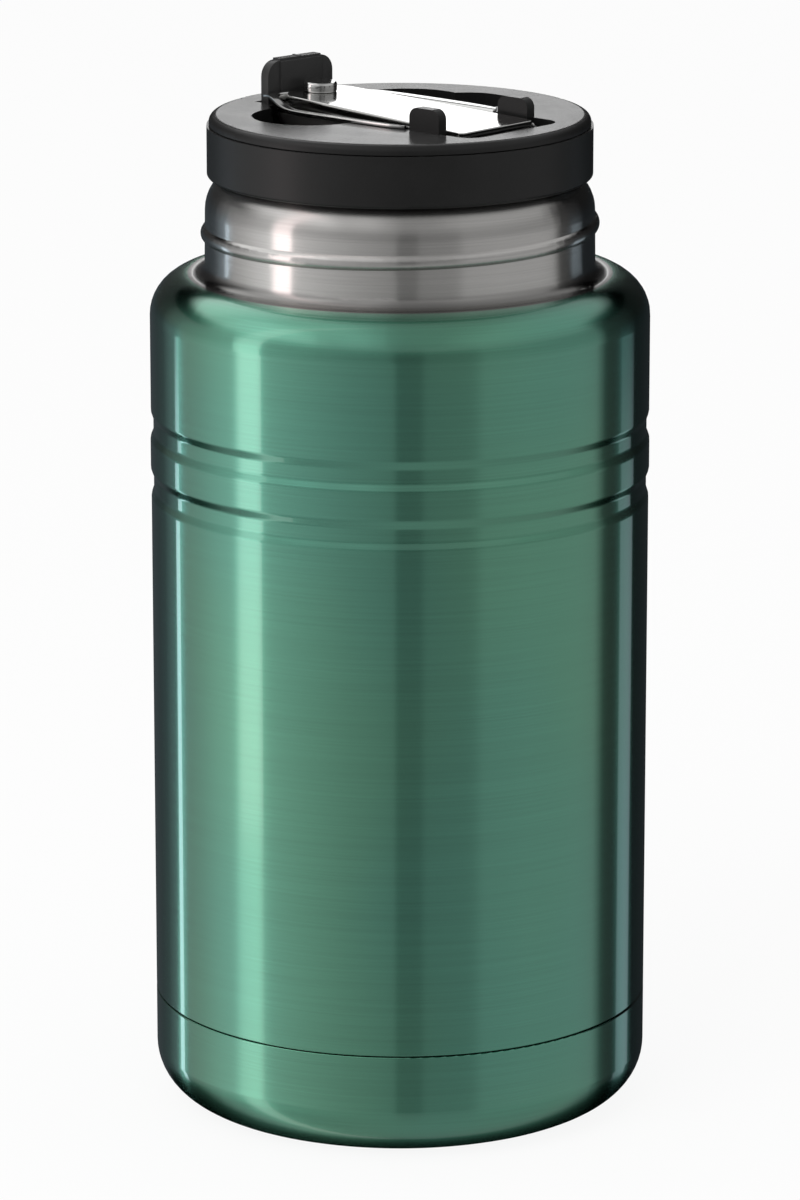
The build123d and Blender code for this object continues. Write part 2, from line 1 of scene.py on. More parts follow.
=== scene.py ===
import math
import bmesh
import bpy
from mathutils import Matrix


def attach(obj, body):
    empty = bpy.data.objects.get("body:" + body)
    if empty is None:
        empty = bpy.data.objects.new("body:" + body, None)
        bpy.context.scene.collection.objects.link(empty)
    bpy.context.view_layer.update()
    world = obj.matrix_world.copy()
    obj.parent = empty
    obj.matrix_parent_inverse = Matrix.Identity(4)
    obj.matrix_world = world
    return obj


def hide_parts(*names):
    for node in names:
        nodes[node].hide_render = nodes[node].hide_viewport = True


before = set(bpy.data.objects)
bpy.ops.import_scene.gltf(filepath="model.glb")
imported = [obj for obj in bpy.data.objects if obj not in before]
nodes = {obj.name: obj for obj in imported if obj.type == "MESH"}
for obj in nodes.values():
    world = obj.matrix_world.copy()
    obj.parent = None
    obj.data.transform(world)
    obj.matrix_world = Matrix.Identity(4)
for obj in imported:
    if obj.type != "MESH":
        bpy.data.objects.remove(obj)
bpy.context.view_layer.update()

# ---------------------------------------------------------------- steel body
# The outer wall and the base cup are drawn stainless steel, brushed round the jar, and dipped
# in a clear green lacquer that pools to teal. The neck is masked off and stays bare steel.
# They are the frame's own solids, welded at the seam low on the body.


class Value:
    """A socket that takes plain sums: every operator adds the Math node it stands for."""

    def __init__(self, finish, socket):
        self.finish = finish
        self.socket = socket

    def math(self, operation, first, second=None):
        inputs = {0: first}
        if second is not None:
            inputs[1] = second
        return self.finish.node("ShaderNodeMath", {"operation": operation}, inputs)

    def __add__(self, other):
        return self.math("ADD", self, other)

    def __sub__(self, other):
        return self.math("SUBTRACT", self, other)

    def __rsub__(self, other):
        return self.math("SUBTRACT", other, self)

    def __mul__(self, other):
        return self.math("MULTIPLY", self, other)

    def __truediv__(self, other):
        return self.math("DIVIDE", self, other)

    def __pow__(self, other):
        return self.math("POWER", self, other)

    __radd__ = __add__
    __rmul__ = __mul__


class Finish:
    """The node tree of a material or of the world, built one node at a time."""

    def __init__(self, owner):
        owner.use_nodes = True
        self.owner = owner
        self.tree = owner.node_tree
        self.tree.nodes.clear()

    def node(self, kind, settings=None, inputs=None, output=0):
        """A new node, its settings first, then its sockets; what it gives back is one output."""
        made = self.tree.nodes.new(kind)
        for name, setting in (settings or {}).items():
            if name == "stops":
                ramp = made.color_ramp.elements
                while len(ramp) < len(setting):
                    ramp.new(1.0)
                for element, (position, colour) in zip(ramp, setting):
                    element.position = position
                    element.color = colour
            else:
                setattr(made, name, setting)
        for name, value in (inputs or {}).items():
            if isinstance(value, Value):
                self.tree.links.new(value.socket, made.inputs[name])
            else:
                made.inputs[name].default_value = value
        return Value(self, made.outputs[output]) if made.outputs else made

    def step(self, value, low, high):
        """0 below low, 1 above high, smooth between."""
        settings = {"interpolation_type": "SMOOTHSTEP"}
        return self.node("ShaderNodeMapRange", settings, {0: value, 1: low, 2: high})

    def place(self, stretch=(1.0, 1.0, 1.0)):
        """Object coordinates in metres, multiplied by a stretch along each axis."""
        where = self.node("ShaderNodeTexCoord", output="Object")
        return self.node("ShaderNodeMapping", None, {"Vector": where, "Scale": stretch})

    def noise(self, stretch, detail):
        inputs = {"Vector": self.place(stretch), "Scale": 1.0, "Detail": detail}
        return self.node("ShaderNodeTexNoise", None, inputs)

    def axes(self):
        """The object coordinates as three values."""
        where = self.place()
        return [self.node("ShaderNodeSeparateXYZ", None, {0: where}, axis) for axis in "XYZ"]

    def grey(self, shade, blue=1.0):
        """A grey as a colour, with its blue turned down for a warmer metal."""
        return self.node("ShaderNodeCombineColor", None, {0: shade, 1: shade, 2: shade * blue})

    def blend(self, amount, first, second, kind="MIX"):
        """A colour between two colours."""
        settings = {"data_type": "RGBA", "blend_type": kind}
        return self.node("ShaderNodeMix", settings, {0: amount, 6: first, 7: second}, 2)

    def bump(self, strength, distance, height):
        inputs = {"Strength": strength, "Distance": distance, "Height": height}
        return self.node("ShaderNodeBump", None, inputs)

    def surface(self, settings):
        shader = self.node("ShaderNodeBsdfPrincipled", None, settings)
        self.node("ShaderNodeOutputMaterial", None, {"Surface": shader})
        return self.owner


STEEL = (0.60, 0.59, 0.575, 1.0)
LACQUER_GREEN = (0.126, 0.380, 0.252, 1.0)
LACQUER_TEAL = (0.110, 0.362, 0.266, 1.0)
LACQUER_EDGE_R, LACQUER_EDGE_BLUR = 0.0424, 0.0002
ROOT_LOW, ROOT_HIGH = 0.1712, 0.1730  # where the neck turns out into the shoulder; the bare steel in this crease is darkened as painted shade
COLLAR_SHADE_LOW, COLLAR_SHADE_HIGH = 0.1825, 0.1850  # close under the collar, where the neck is darkened as painted shade
# how much the painted shade darkens the crease and the steel under the collar
ROOT_SHADE_STRENGTH, COLLAR_SHADE_STRENGTH = 0.55, 0.16
BRUSH_LINES = (28.0, 28.0, 3600.0)
BRUSH_BANDS = (14.0, 14.0, 520.0)
BRUSH_LEVEL, BRUSH_CONTRAST = 0.82, 0.36
BRUSH_ROUGHNESS, BRUSH_ROUGHNESS_CONTRAST = 0.18, 0.06
BRUSH_STRENGTH, BRUSH_DEPTH = 0.05, 0.00002
BRUSHED_ROUND = 0.25  # turns the anisotropic highlight square to lines that run round the jar
CLOUDS = (22.0, 22.0, 14.0)
CLOUDS_LOW, CLOUDS_HIGH = 0.35, 0.7


def brushed(finish):
    """Fine lines and broader bands round the jar, as a value round 0.5."""
    return finish.noise(BRUSH_LINES, 3.0) * 0.7 + finish.noise(BRUSH_BANDS, 2.0) * 0.3


def lacquered_steel():
    finish = Finish(bpy.data.materials.new("lacquered_steel_finish"))
    x, y, z = finish.axes()
    radius = (x * x + y * y) ** 0.5
    lacquer = finish.step(radius, LACQUER_EDGE_R - LACQUER_EDGE_BLUR, LACQUER_EDGE_R + LACQUER_EDGE_BLUR)
    lines = brushed(finish)
    clouds = finish.step(finish.noise(CLOUDS, 1.0), CLOUDS_LOW, CLOUDS_HIGH)
    green = finish.blend(clouds, LACQUER_GREEN, LACQUER_TEAL)
    colour = finish.blend(lacquer, STEEL, green)
    # painted shade in the crease where the bare neck turns out into the shoulder
    root_shade = (1.0 - finish.step(z, ROOT_LOW, ROOT_HIGH)) * (1.0 - lacquer)
    # painted shade: the steel is darkened close under the collar
    collar_shade = finish.step(z, COLLAR_SHADE_LOW, COLLAR_SHADE_HIGH)
    shade = (lines * BRUSH_CONTRAST + BRUSH_LEVEL) * (1.0 - root_shade * ROOT_SHADE_STRENGTH)
    shade = shade * (1.0 - collar_shade * COLLAR_SHADE_STRENGTH)
    return finish.surface({
        "Base Color": finish.blend(1.0, colour, finish.grey(shade), "MULTIPLY"),
        "Metallic": 1.0,
        "Roughness": lines * BRUSH_ROUGHNESS_CONTRAST + BRUSH_ROUGHNESS,
        "Anisotropic": 1.0,
        "Anisotropic Rotation": BRUSHED_ROUND,
        "Coat Weight": lacquer,
        "Coat Roughness": 0.02,
        "Normal": finish.bump(BRUSH_STRENGTH, BRUSH_DEPTH, lines),
    })


lacquered = lacquered_steel()
for name in ("outer_shell", "base_cup"):
    nodes[name].material_slots[0].material = lacquered

# ---------------------------------------------------------------- bare steel inside
# The inner vessel is drawn from plain stainless steel, brushed like the body but not lacquered,
# and welded in at the lip. The getter, the cover of the seal and the latch's pin are bare too.

BARE_LEVEL, BARE_CONTRAST = 0.53, 0.12
BARE_ROUGHNESS, BARE_ROUGHNESS_CONTRAST = 0.28, 0.1
BARE_WARMTH = 0.97


def bare_steel():
    finish = Finish(bpy.data.materials.new("bare_steel_finish"))
    lines = brushed(finish)
    return finish.surface({
        "Base Color": finish.grey(lines * BARE_CONTRAST + BARE_LEVEL, BARE_WARMTH),
        "Metallic": 1.0,
        "Roughness": lines * BARE_ROUGHNESS_CONTRAST + BARE_ROUGHNESS,
        "Anisotropic": 0.9,
        "Anisotropic Rotation": BRUSHED_ROUND,
    })


bare = bare_steel()
for name in ("liner_wall", "liner_base", "rim_weld", "getter", "seal_cover", "latch_pin"):
    nodes[name].material_slots[0].material = bare

# ---------------------------------------------------------------- black plastic stopper
# Collar and cover are moulded in black polypropylene and snapped together: satin on the sides,
# with a fine spark-eroded grain on the flat top, which shows wear as lighter patches. The flat
# top's colour is also lifted as a whole, as painted sheen.

GRAIN = (2600.0, 2600.0, 2600.0)
WEAR = (160.0, 160.0, 160.0)
TOP_LOW, TOP_HIGH = 0.8, 0.97  # upward part of the normal where the grained top begins
BLACK_LEVEL, BLACK_WEAR, BLACK_GRAIN = 0.004, 0.003, 0.004
# how much lighter the top is painted, from its grain and wear, and as painted sheen
TOP_WEAR_AND_SHEEN, TOP_GRAIN_AND_SHEEN = 0.012, 0.04
PLASTIC_ROUGHNESS, PLASTIC_WEAR_ROUGHNESS, TOP_SMOOTHER = 0.34, 0.08, 0.14
GRAIN_STRENGTH, GRAIN_DEPTH, SIDE_GRAIN = 0.25, 0.00004, 0.2
PLASTIC_GLOSS = 0.32


def black_plastic(name, painted_lift=0.0):
    finish = Finish(bpy.data.materials.new(name))
    normal = finish.node("ShaderNodeNewGeometry", output="Normal")
    facing_up = finish.node("ShaderNodeSeparateXYZ", None, {0: normal}, "Z")
    top = finish.step(facing_up, TOP_LOW, TOP_HIGH)
    grain = finish.noise(GRAIN, 2.0)
    wear = finish.noise(WEAR, 3.0)
    height = grain * (top * (1.0 - SIDE_GRAIN) + SIDE_GRAIN)
    # a copy of the plastic can be lifted all over as painted light
    shade = wear * BLACK_WEAR + grain * BLACK_GRAIN + (BLACK_LEVEL + painted_lift)
    # the top is painted lighter: partly its grain and wear, partly painted sheen of the studio on the flat
    # top
    shade = shade + top * (grain * TOP_GRAIN_AND_SHEEN + wear * TOP_WEAR_AND_SHEEN)
    return finish.surface({
        "Base Color": finish.grey(shade),
        "Roughness": wear * PLASTIC_WEAR_ROUGHNESS + PLASTIC_ROUGHNESS - top * TOP_SMOOTHER,
        "Specular IOR Level": PLASTIC_GLOSS,
        "Normal": finish.bump(GRAIN_STRENGTH, GRAIN_DEPTH, height),
    })


black = black_plastic("black_plastic_finish")
for name in ("stopper_collar", "stopper_top"):
    nodes[name].material_slots[0].material = black

# ---------------------------------------------------------------- latch
# The tab that holds the spoon down, moulded in the same black plastic, whose colour is lifted
# here as painted light on its front. It has a raised panel in front and a finger strip along
# its top, and turns on a steel pin in the cover.

SPOON_TURN = math.radians(-42.0)  # the spoon lies this far round from +X
LATCH_TURN = math.radians(-47.0)
LATCH_PIVOT, LATCH_PIVOT_HEIGHT = -0.0279, 0.2011
LATCH_THICK, LATCH_HALF, LATCH_TOP = 0.0022, 0.0087, 0.2105
LATCH_CORNER_R, LATCH_EDGE_R = 0.0032, 0.00022
PANEL_HALF, PANEL_TOP, PANEL_FOOT, PANEL_RISE = 0.0055, 0.2103, 0.2036, 0.00035
STRIP_HALF, STRIP_RISE = 0.0064, 0.00035
GATE_HALF, GATE_RISE = 0.0003, 0.00015
BARREL_R, BARREL_INSET = 0.0011, 0.0004
# how much lighter the latch is painted, as painted light on its front
LATCH_LIT_LIFT = 0.016
TINY = 1e-5
FLAT = 0.9  # least part of a normal along an axis for a face that looks that way
SMOOTH_ANGLE = math.radians(40)


def start(add, **place):
    """A new primitive in edit mode, alone and with nothing selected."""
    bpy.ops.object.select_all(action="DESELECT")
    add(**place)
    bpy.ops.object.transform_apply(location=True, rotation=True, scale=True)
    bpy.ops.object.mode_set(mode="EDIT")
    bpy.ops.mesh.select_all(action="DESELECT")
    return bpy.context.object


def start_box(low, high):
    """A box in edit mode, between two opposite corners."""
    return start(
        bpy.ops.mesh.primitive_cube_add, size=1.0,
        location=[(a + b) / 2 for a, b in zip(low, high)],
        scale=[b - a for a, b in zip(low, high)],
    )


def pick(piece, kind, wanted):
    """Selects the vertices, edges or faces whose middle the test wants, and nothing else."""
    bpy.ops.mesh.select_mode(type=kind)
    bpy.ops.mesh.select_all(action="DESELECT")
    mesh = bmesh.from_edit_mesh(piece.data)
    for item in {"VERT": mesh.verts, "EDGE": mesh.edges, "FACE": mesh.faces}[kind]:
        if kind == "VERT":
            middle = item.co
        elif kind == "EDGE":
            middle = (item.verts[0].co + item.verts[1].co) / 2
        else:
            middle = item.calc_center_median()
        if wanted(middle, item):
            item.select_set(True)
    mesh.select_flush_mode()
    bmesh.update_edit_mesh(piece.data)


def cut(point, normal):
    """A cut right through the piece."""
    bpy.ops.mesh.select_all(action="SELECT")
    bpy.ops.mesh.bisect(plane_co=point, plane_no=normal)


def pull_faces(x=0.0, y=0.0, z=0.0):
    """Draws the picked faces out of the piece."""
    bpy.ops.mesh.extrude_region_move(TRANSFORM_OT_translate={"value": (x, y, z)})


def soft_edges(width, segments, angle):
    """The modifier that rounds every edge sharper than an angle."""
    limit = math.radians(angle)
    return ("BEVEL", {"width": width, "segments": segments, "limit_method": "ANGLE", "angle_limit": limit})


def along_spoon(distance, height=0.0):
    """A place above the spoon's line, at a distance from the jar's axis."""
    return (distance * math.cos(SPOON_TURN), distance * math.sin(SPOON_TURN), height)


def place_piece(piece, name, turn, where, modifiers, material):
    """Sets the finished piece down in its place, and applies its modifiers."""
    bpy.ops.mesh.select_all(action="SELECT")
    bpy.ops.mesh.normals_make_consistent(inside=False)
    bpy.ops.object.mode_set(mode="OBJECT")
    piece.name = name
    piece.data.name = name
    piece.rotation_euler = turn
    piece.location = where
    bpy.ops.object.transform_apply(location=True, rotation=True, scale=True)
    for kind, settings in modifiers:
        modifier = piece.modifiers.new(kind.title(), kind)
        for setting, value in settings.items():
            setattr(modifier, setting, value)
        bpy.ops.object.modifier_apply(modifier=modifier.name)
    bpy.ops.object.shade_smooth_by_angle(angle=SMOOTH_ANGLE)
    piece.data.materials.clear()
    piece.data.materials.append(material)


latch = start_box(
    (-LATCH_THICK / 2, -LATCH_HALF, LATCH_PIVOT_HEIGHT), (LATCH_THICK / 2, LATCH_HALF, LATCH_TOP)
)
pick(latch, "EDGE", lambda at, edge: at.z > LATCH_TOP - TINY and abs(at.y) > LATCH_HALF - TINY)
bpy.ops.mesh.bevel(offset=LATCH_CORNER_R, segments=8)
for side in (-STRIP_HALF, -PANEL_HALF, -GATE_HALF, GATE_HALF, PANEL_HALF, STRIP_HALF):
    cut((0, side, 0), (0, 1, 0))
for height in (PANEL_FOOT, PANEL_TOP):
    cut((0, 0, height), (0, 0, 1))


def on_strip(at, face):
    return face.normal.z > FLAT and abs(at.y) < STRIP_HALF and at.z > LATCH_TOP - TINY


def on_panel(at, face):
    return face.normal.x > FLAT and abs(at.y) < PANEL_HALF and PANEL_FOOT < at.z < PANEL_TOP


pick(latch, "FACE", on_strip)
pull_faces(z=STRIP_RISE)
pick(latch, "FACE", lambda at, face: face.normal.z > FLAT and abs(at.y) < GATE_HALF)
pull_faces(z=GATE_RISE)
pick(latch, "FACE", on_panel)
pull_faces(x=PANEL_RISE)
bpy.ops.object.mode_set(mode="OBJECT")
barrel = start(
    bpy.ops.mesh.primitive_cylinder_add, vertices=32, radius=BARREL_R, depth=2 * LATCH_HALF,
    location=(0, 0, LATCH_PIVOT_HEIGHT), rotation=(math.radians(90), 0, 0),
)
pick(barrel, "FACE", lambda at, face: abs(face.normal.y) > FLAT)
bpy.ops.mesh.inset(thickness=BARREL_INSET)
bpy.ops.object.mode_set(mode="OBJECT")
latch.select_set(True)
bpy.context.view_layer.objects.active = latch
bpy.ops.object.join()
bpy.ops.object.mode_set(mode="EDIT")
# the latch gets a lighter copy of the black plastic: painted light
latch_plastic = black_plastic("latch_plastic_lit_finish", LATCH_LIT_LIFT)
latch_rounding = [soft_edges(LATCH_EDGE_R, 3, 35)]
place_piece(latch, "latch", (0, 0, LATCH_TURN), along_spoon(LATCH_PIVOT), latch_rounding, latch_plastic)
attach(latch, "latch")
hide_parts("spoon_latch")

# ---------------------------------------------------------------- plug, foam, seal, bead and foil
# Hidden pieces, the frame's own solids: the stopper's plug of natural plastic with foam in it and
# a moulded silicone ring round it, the glass bead that closes the pumping hole, and the copper
# foil round the inner vessel.

PALE_STRENGTH, PALE_DEPTH = 0.2, 0.0001
PALE_DARKER = 0.86
PALE_ROUGHNESS_CONTRAST = 0.1
# node: name of the finish, colour, roughness, grains in a metre
PALE_FINISHES = {
    "stopper_plug": ("white_plastic_finish", (0.72, 0.72, 0.69), 0.35, 400.0),
    "foam_core": ("foam_finish", (0.80, 0.78, 0.70), 0.8, 900.0),
    "gasket": ("silicone_finish", (0.62, 0.63, 0.62), 0.5, 300.0),
    "seal_bead": ("seal_glass_finish", (0.22, 0.24, 0.25), 0.15, 500.0),
    "copper_foil": ("copper_finish", (0.72, 0.38, 0.25), 0.3, 120.0),
}


def pale(name, colour, roughness, grain):
    finish = Finish(bpy.data.materials.new(name))
    mottle = finish.noise((grain, grain, grain), 3.0)
    darker = [PALE_DARKER * part for part in colour]
    return finish.surface({
        "Base Color": finish.blend(mottle, (*colour, 1.0), (*darker, 1.0)),
        "Roughness": mottle * PALE_ROUGHNESS_CONTRAST + roughness,
        "Normal": finish.bump(PALE_STRENGTH, PALE_DEPTH, mottle),
    })


for name, look in PALE_FINISHES.items():
    nodes[name].material_slots[0].material = pale(*look)

# ---------------------------------------------------------------- hinge pin
# Turned from stainless steel, pushed through the walls of the bowl and the handle's ears, and
# headed at both ends. The whole spoon is polished to a mirror by tumbling.

SWIRL = (300.0, 300.0, 300.0)
POLISHED_LEVEL, POLISHED_CONTRAST = 0.60, 0.05
POLISHED_ROUGHNESS = 0.06
POLISHED_WARMTH = 0.985


def polished_steel():
    finish = Finish(bpy.data.materials.new("polished_steel_finish"))
    swirl = finish.noise(SWIRL, 4.0)
    return finish.surface({
        "Base Color": finish.grey(swirl * POLISHED_CONTRAST + POLISHED_LEVEL, POLISHED_WARMTH),
        "Metallic": 1.0,
        "Roughness": swirl * POLISHED_ROUGHNESS + POLISHED_ROUGHNESS,
    })


polished = polished_steel()
nodes["hinge_pin"].material_slots[0].material = polished

# ---------------------------------------------------------------- spoon handle
# Bent up from stainless sheet: a flat plate with a flange down each side, rounded at the free
# end, and two ears inside the flanges for the hinge pin.

HANDLE_HINGE, HANDLE_HINGE_HEIGHT = 0.0242, 0.20075
HANDLE_TILT = math.radians(2.3)
HANDLE_SHEET, HANDLE_TOP, HANDLE_FOOT = 0.0007, 0.00175, -0.00005
HANDLE_HEEL, HANDLE_END, HANDLE_FLANGE_END = -0.0016, 0.0496, 0.0470
HANDLE_HINGE_HALF, HANDLE_END_HALF = 0.0108, 0.0086
HANDLE_END_R, HANDLE_HEEL_R, HANDLE_BEND_R = 0.0050, 0.0012, 0.00016
HANDLE_TOP_INSET, HANDLE_EDGE_R = 0.0002, 0.00012
HANDLE_LEAN = 0.968  # the flanges stand this much closer at their feet
EAR_R, EAR_AT, EAR_THICK = 0.0014, 0.0096, 0.0006
EAR_INSET, EAR_EDGE_R = 0.0003, 0.0001


def scale(x=1.0, y=1.0, z=1.0, centre=(0.0, 0.0, 0.0)):
    bpy.ops.transform.resize(value=(x, y, z), center_override=centre)


handle = start_box(
    (HANDLE_HEEL, -HANDLE_HINGE_HALF, HANDLE_FOOT), (HANDLE_END, HANDLE_HINGE_HALF, HANDLE_TOP)
)
pick(handle, "VERT", lambda at, vert: at.x > HANDLE_END - TINY)
scale(y=HANDLE_END_HALF / HANDLE_HINGE_HALF)
for wanted_at, radius in ((HANDLE_END, HANDLE_END_R), (HANDLE_HEEL, HANDLE_HEEL_R)):
    pick(handle, "EDGE", lambda at, edge: abs(at.x - wanted_at) < TINY and abs(at.y) > HANDLE_END_HALF - TINY)
    bpy.ops.mesh.bevel(offset=radius, segments=10)
pick(handle, "FACE", lambda at, face: face.normal.z < -FLAT)
bpy.ops.mesh.delete(type="FACE")
pick(handle, "EDGE", lambda at, edge: at.z > HANDLE_TOP - TINY)
bpy.ops.mesh.bevel(offset=HANDLE_BEND_R, segments=3)
pick(handle, "FACE", lambda at, face: face.normal.z > 0.99)
bpy.ops.mesh.inset(thickness=HANDLE_TOP_INSET)
pick(handle, "VERT", lambda at, vert: at.z < HANDLE_FOOT + TINY)
scale(y=HANDLE_LEAN)
# the free end has no flanges
cut((HANDLE_FLANGE_END, 0, 0), (1, 0, 0))
pick(handle, "FACE", lambda at, face: at.x > HANDLE_FLANGE_END and abs(face.normal.z) < 0.05)
bpy.ops.mesh.delete(type="FACE")
folded = [("SOLIDIFY", {"thickness": HANDLE_SHEET, "offset": -1.0}), soft_edges(HANDLE_EDGE_R, 2, 50)]
handle_turn = (0, -HANDLE_TILT, SPOON_TURN + math.pi)
hinge_place = along_spoon(HANDLE_HINGE, HANDLE_HINGE_HEIGHT)
place_piece(handle, "handle", handle_turn, hinge_place, folded, polished)
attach(handle, "handle")
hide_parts("spoon_handle")
for side, ear_name in ((-1, "ear_right"), (1, "ear_left")):
    ear = start(
        bpy.ops.mesh.primitive_cylinder_add, vertices=32, radius=EAR_R, depth=EAR_THICK,
        location=(0, side * EAR_AT, 0), rotation=(math.radians(90), 0, 0),
    )
    pick(ear, "FACE", lambda at, face: abs(face.normal.y) > FLAT)
    bpy.ops.mesh.inset(thickness=EAR_INSET)
    place_piece(ear, ear_name, handle_turn, hinge_place, [soft_edges(EAR_EDGE_R, 2, 50)], polished)
    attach(ear, "handle")

# ---------------------------------------------------------------- handle stud
# The round button on the handle's free end, turned from stainless steel with a rounded edge and
# riveted through the plate. The middle of its top stands a little proud.

STUD_AT, STUD_R, STUD_HEIGHT, STUD_EDGE_R = 0.0459, 0.0034, 0.0019, 0.0005
STUD_INSET, STUD_PROUD = 0.0004, 0.0001


def move(x=0.0, y=0.0, z=0.0):
    bpy.ops.transform.translate(value=(x, y, z))


stud = start(
    bpy.ops.mesh.primitive_cylinder_add, vertices=64, radius=STUD_R, depth=STUD_HEIGHT,
    location=(STUD_AT, 0, HANDLE_TOP - TINY + STUD_HEIGHT / 2),
)
pick(stud, "FACE", lambda at, face: face.normal.z > FLAT)
bpy.ops.mesh.inset(thickness=STUD_INSET)
move(z=STUD_PROUD)
place_piece(stud, "stud", handle_turn, hinge_place, [soft_edges(STUD_EDGE_R, 5, 50)], polished)
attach(stud, "handle")
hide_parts("handle_stud")

# ---------------------------------------------------------------- spoon bowl
# Deep-drawn from one sheet of stainless steel: a dished pan, rougher inside and painted darker
# inside as painted shade in the well, whose polished flange rests on the cover. One corner of
# the tip is turned up for a finger, and the plain walls at the other end carry the hinge pin.

BOWL_SHEET, BOWL_EDGE_R = 0.00055, 0.00016
BOWL_FLOOR, BOWL_BEND, BOWL_WAIST, BOWL_TOP = 0.1966, 0.1984, 0.2004, 0.2023
BOWL_HALF, BOWL_FLAT_HALF = 0.0126, 0.0085
HINGE_HALF, BOWL_END = 0.0114, 0.0274
TIP_START = -0.0170
# stations along the spoon: place and half width of the wall, then of the flange's edge
BOWL_STATIONS = [
    (-0.0244, 0.0092, -0.0261, 0.0101),
    (-0.0226, 0.0112, -0.0247, 0.0121),
    (-0.0204, 0.0122, -0.0216, 0.0139),
    (-0.0176, 0.0126, -0.0178, 0.0150),
    (-0.0140, 0.0126, -0.0140, 0.0154),
    (-0.0060, 0.0126, -0.0060, 0.0155),
    (0.0040, 0.0126, 0.0040, 0.0154),
    (0.0095, 0.0126, 0.0095, 0.0150),
    (0.0136, 0.0124, 0.0136, 0.0143),
]
HINGE_STATIONS = [0.0152, 0.0205, 0.0255]
TIP_ROUNDING = [(BOWL_FLOOR, 0.3), (BOWL_BEND, 0.7)]  # level, and its share of the tip's length
SIDE_ROUNDING, SIDE_LIFT = 0.9, 0.0006
FLOOR_CLIMB = [(0.0080, 0.0006), (0.0130, 0.0007)]  # beyond this place, how much it rises more
WALL_DROP = [(0.0205, 0.0004), (0.0255, 0.0008), (BOWL_END, 0.0024)]
END_WAIST_DROP = 0.0014
# each ring of the flange: its rise over the last one, and its share of the flange's width
FLANGE_RINGS = [(0.0004, 0.3), (0.00005, 1.0)]
CORNER_LIFTS = [(-0.0165, 0.00015), (-0.0200, 0.00125), (-0.0222, 0.0005)]
WING_FROM, WING_HALF = -0.0256, 0.0097
WING_OUT, WING_DOWN = 0.0016, 0.0010
# the inside of the pan is painted dark as painted shade; the rim is lifted out of it
INSIDE_SHADE_LEVEL, RIM_LIFT_OUT_OF_SHADE, RIM_DEPTH = 0.22, 0.38, 0.0012
SATIN_ROUGHNESS, RIM_SMOOTHER = 0.34, 0.26


def polished_bowl():
    finish = Finish(bpy.data.materials.new("bowl_finish"))
    outside = finish.step(finish.axes()[2], BOWL_TOP - RIM_DEPTH, BOWL_TOP)
    swirl = finish.noise(SWIRL, 4.0)
    # painted shade: darker inside the pan, lighter on the rim above it
    shade = swirl * POLISHED_CONTRAST + outside * RIM_LIFT_OUT_OF_SHADE + INSIDE_SHADE_LEVEL
    return finish.surface({
        "Base Color": finish.grey(shade, POLISHED_WARMTH),
        "Metallic": 1.0,
        "Roughness": swirl * POLISHED_ROUGHNESS + SATIN_ROUGHNESS - outside * RIM_SMOOTHER,
    })


def between(first, second, share):
    return first + share * (second - first)


def spread_flange(row, before, after):
    """Moves a ring of the flange outwards, from one share of its width to another."""
    for wall_at, wall_half, edge_at, edge_half in BOWL_STATIONS:
        at_before = between(wall_at, edge_at, before)
        pick(bowl, "VERT", lambda at, vert: abs(at.z - row) < TINY and abs(at.x - at_before) < TINY)
        scale(y=between(wall_half, edge_half, after) / between(wall_half, edge_half, before))
        move(x=between(wall_at, edge_at, after) - at_before)


bowl_tip = BOWL_STATIONS[0][0]
flange_end = BOWL_STATIONS[-1][0]
bowl = start_box((bowl_tip, -BOWL_HALF, BOWL_FLOOR), (BOWL_END, BOWL_HALF, BOWL_TOP))
pick(bowl, "FACE", lambda at, face: face.normal.z > FLAT)
bpy.ops.mesh.delete(type="FACE")
for station in [station[0] for station in BOWL_STATIONS[1:]] + HINGE_STATIONS:
    cut((station, 0, 0), (1, 0, 0))
for height in (BOWL_BEND, BOWL_WAIST):
    cut((0, 0, height), (0, 0, 1))
for side in (-BOWL_FLAT_HALF, BOWL_FLAT_HALF):
    cut((0, side, 0), (0, 1, 0))
for wall_at, wall_half, _, _ in BOWL_STATIONS:
    pick(bowl, "VERT", lambda at, vert: abs(at.x - wall_at) < TINY)
    scale(y=wall_half / BOWL_HALF)
pick(bowl, "VERT", lambda at, vert: at.x > flange_end + TINY)
scale(y=HINGE_HALF / BOWL_HALF)
# the floor rounds up into the tip and into the sides
for level, share in TIP_ROUNDING:
    pick(bowl, "VERT", lambda at, vert: abs(at.z - level) < TINY and at.x < TIP_START)
    scale(x=share, centre=(TIP_START, 0, 0))
pick(bowl, "VERT", lambda at, vert: at.z < BOWL_FLOOR + TINY and abs(at.y) > BOWL_FLAT_HALF + TINY)
scale(y=SIDE_ROUNDING)
move(z=SIDE_LIFT)
# and climbs to the hinge, where the walls are low so that the handle can swing over them
for beyond, climb in FLOOR_CLIMB:
    pick(bowl, "VERT", lambda at, vert: at.x > beyond and at.z < BOWL_BEND)
    move(z=climb)
for station, drop in WALL_DROP:
    pick(bowl, "VERT", lambda at, vert: abs(at.x - station) < TINY and at.z > BOWL_TOP - TINY)
    move(z=-drop)
pick(bowl, "VERT", lambda at, vert: at.x > BOWL_END - TINY and abs(at.z - BOWL_WAIST) < 2e-4)
move(z=-END_WAIST_DROP)
# flange, in two rings
row, share = BOWL_TOP, 0.0
for ring_rise, ring_share in FLANGE_RINGS:
    pick(bowl, "EDGE", lambda at, edge: edge.is_boundary and abs(at.z - row) < TINY and at.x < flange_end)
    bpy.ops.mesh.extrude_edges_move(TRANSFORM_OT_translate={"value": (0, 0, ring_rise)})
    row += ring_rise
    spread_flange(row, share, ring_share)
    share = ring_share
